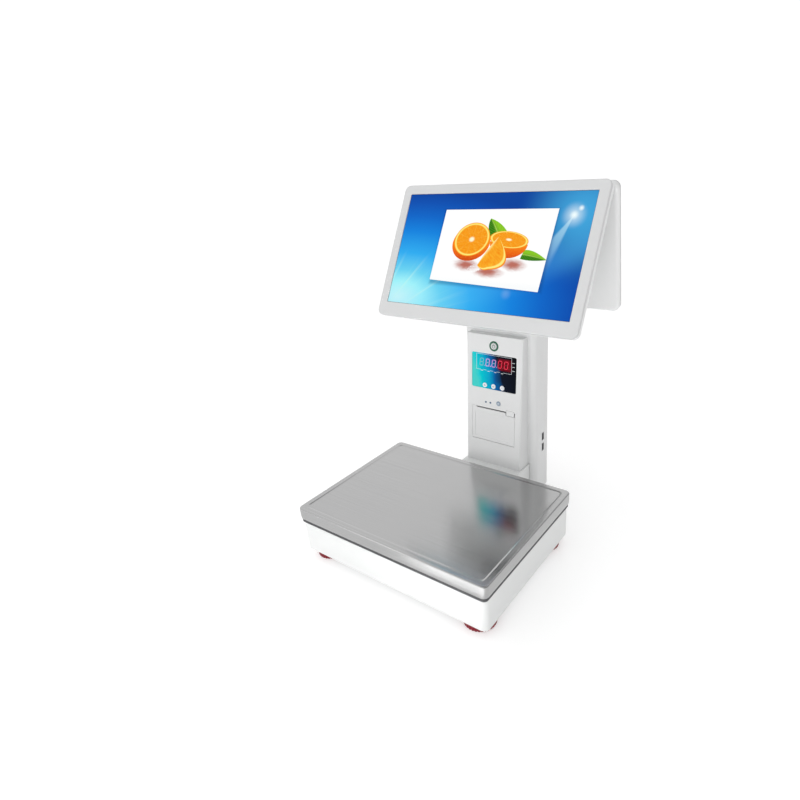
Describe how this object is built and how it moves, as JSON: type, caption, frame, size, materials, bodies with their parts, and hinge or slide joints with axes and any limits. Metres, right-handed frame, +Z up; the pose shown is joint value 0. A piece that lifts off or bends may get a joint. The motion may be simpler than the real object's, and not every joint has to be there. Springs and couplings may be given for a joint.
{
  "type": "label printing scale",
  "caption": "Counter weighing scale with a steel pan, label printer in a column, weight panel, and tilting operator and customer displays.",
  "frame": {"origin": "on the floor, under the middle of the whole scale", "axes": "+Z up, -Y towards the operator, +X to the operator's right"},
  "size_m": [0.3788, 0.4312, 0.5634],
  "materials": {
    "white_shell": "satin moulded",
    "white_casting": "white powder coat",
    "display_bezel": "satin moulded",
    "pan_steel": "brushed",
    "foot_red": "moulded red",
    "zinc_steel": "zinc plated",
    "support_casting": "black powder coat",
    "cell_aluminium": "machined",
    "black_steel": "black oxide",
    "screw_steel": "zinc plated",
    "buffer_rubber": "moulded",
    "vial_acrylic": "clear green",
    "circuit_board": "solder mask",
    "supply_case": "pressed sheet",
    "port_metal": "nickel plated",
    "inlet_black": "moulded",
    "panel_lens": "gloss black",
    "digit_red": "lit digits",
    "key_white": "gloss",
    "button_silver": "satin",
    "ring_green": "translucent",
    "button_grey": "satin",
    "lamp_blue": "translucent",
    "inner_plastic": "moulded",
    "head_ceramic": "glazed ceramic on its heat sink",
    "gear_plastic": "moulded",
    "motor_steel": "plated can",
    "label_paper": "coated labels",
    "screen_glass": "touch glass over the lit picture",
    "screen_module": "panel"
  },
  "bodies": {
    "frame": {"base_housing": "white_casting", "base_plate": "zinc_steel", "load_cell": "cell_aluminium", "load_cell_bolts": "black_steel", "pan_support": "support_casting", "pan_buffers": "buffer_rubber", "level_vial": "vial_acrylic", "scale_board": "circuit_board", "base_screws": "screw_steel", "column_frame": "zinc_steel", "column_shell": "white_shell", "column_rear_cover": "white_shell", "column_top_cap": "white_shell", "column_screws": "screw_steel", "usb_ports": "port_metal", "power_inlet": "inlet_black", "power_supply": "supply_case", "head_bracket": "zinc_steel", "hinge_shafts": "black_steel", "fascia_frame": "white_shell", "weight_panel": "panel_lens", "digit_display": "digit_red", "power_ring": "ring_green", "status_leds": "lamp_blue", "printer_chassis": "inner_plastic", "thermal_head": "head_ceramic", "feed_motor": "motor_steel", "label_spindle": "inner_plastic"},
    "pan": {"weighing_pan": "pan_steel"},
    "foot_front_left": {"foot_front_left": "foot_red", "stud_front_left": "zinc_steel"},
    "foot_front_right": {"foot_front_right": "foot_red", "stud_front_right": "zinc_steel"},
    "foot_rear_left": {"foot_rear_left": "foot_red", "stud_rear_left": "zinc_steel"},
    "foot_rear_right": {"foot_rear_right": "foot_red", "stud_rear_right": "zinc_steel"},
    "tare_key": {"tare_key": "key_white"},
    "zero_key": {"zero_key": "key_white"},
    "unit_key": {"unit_key": "key_white"},
    "power_button": {"power_button": "button_silver"},
    "feed_button": {"feed_button": "button_grey"},
    "door_latch": {"door_latch": "white_shell"},
    "printer_door": {"printer_door": "white_shell"},
    "platen": {"platen_roller": "buffer_rubber", "platen_gear": "gear_plastic"},
    "drive_gear": {"drive_gear": "gear_plastic"},
    "label_roll": {"label_roll": "label_paper"},
    "operator_display": {"front_bezel": "display_bezel", "front_glass": "screen_glass", "front_lcd": "screen_module", "front_shell": "white_shell", "main_board": "circuit_board", "front_hinge_plate": "zinc_steel", "front_screws": "screw_steel"},
    "customer_display": {"rear_bezel": "display_bezel", "rear_lcd": "screen_module", "rear_shell": "white_shell", "rear_hinge_plate": "zinc_steel", "rear_screws": "screw_steel"}
  },
  "joints": [
    {"name": "pan_lift", "type": "slide", "parent": "frame", "child": "pan", "axis": [0, 0, 1], "range_m": [0, 0.06]},
    {"name": "foot_spin_front_left", "type": "hinge", "parent": "frame", "child": "foot_front_left", "pos_m": [-0.149, -0.1831, 0], "axis": [0, 0, 1], "continuous": true},
    {"name": "foot_spin_front_right", "type": "hinge", "parent": "frame", "child": "foot_front_right", "pos_m": [0.149, -0.1831, 0], "axis": [0, 0, 1], "continuous": true},
    {"name": "foot_spin_rear_left", "type": "hinge", "parent": "frame", "child": "foot_rear_left", "pos_m": [-0.149, 0.0179, 0], "axis": [0, 0, 1], "continuous": true},
    {"name": "foot_spin_rear_right", "type": "hinge", "parent": "frame", "child": "foot_rear_right", "pos_m": [0.149, 0.0179, 0], "axis": [0, 0, 1], "continuous": true},
    {"name": "tare_key_press", "type": "slide", "parent": "frame", "child": "tare_key", "axis": [0, 0.9971, -0.0767], "range_m": [0, 0.0007], "stiffness_N_per_m": 400, "springref_m": -0.0008},
    {"name": "zero_key_press", "type": "slide", "parent": "frame", "child": "zero_key", "axis": [0, 0.9971, -0.0767], "range_m": [0, 0.0007], "stiffness_N_per_m": 400, "springref_m": -0.0008},
    {"name": "unit_key_press", "type": "slide", "parent": "frame", "child": "unit_key", "axis": [0, 0.9971, -0.0767], "range_m": [0, 0.0007], "stiffness_N_per_m": 400, "springref_m": -0.0008},
    {"name": "power_button_press", "type": "slide", "parent": "frame", "child": "power_button", "axis": [0, 0.9971, -0.0767], "range_m": [0, 0.001], "stiffness_N_per_m": 500, "springref_m": -0.001},
    {"name": "feed_button_press", "type": "slide", "parent": "frame", "child": "feed_button", "axis": [0, 0.9971, -0.0767], "range_m": [0, 0.0007], "stiffness_N_per_m": 400, "springref_m": -0.0008},
    {"name": "latch_press", "type": "slide", "parent": "frame", "child": "door_latch", "axis": [0, 0.9971, -0.0767], "range_m": [0, 0.0012], "stiffness_N_per_m": 800, "springref_m": -0.001},
    {"name": "printer_door_open", "type": "hinge", "parent": "frame", "child": "printer_door", "pos_m": [0, 0.10771, 0.11434], "axis": [1, 0, 0], "range_deg": [0, 55]},
    {"name": "platen_spin", "type": "hinge", "parent": "printer_door", "child": "platen", "pos_m": [0, 0.12438, 0.16802], "axis": [1, 0, 0], "continuous": true},
    {"name": "drive_gear_spin", "type": "hinge", "parent": "frame", "child": "drive_gear", "pos_m": [0, 0.13874, 0.16691], "axis": [1, 0, 0], "continuous": true},
    {"name": "label_roll_spin", "type": "hinge", "parent": "frame", "child": "label_roll", "pos_m": [0, 0.1504, 0.143], "axis": [1, 0, 0], "continuous": true},
    {"name": "operator_display_tilt", "type": "hinge", "parent": "frame", "child": "operator_display", "pos_m": [0, 0.1294, 0.44], "axis": [1, 0, 0], "range_deg": [0, 15]},
    {"name": "customer_display_tilt", "type": "hinge", "parent": "frame", "child": "customer_display", "pos_m": [0, 0.1704, 0.44], "axis": [1, 0, 0], "range_deg": [-5, 0]}
  ],
  "couplings": [
    {"joint": "drive_gear_spin", "follows": "platen_spin", "ratio": -0.6}
  ]
}
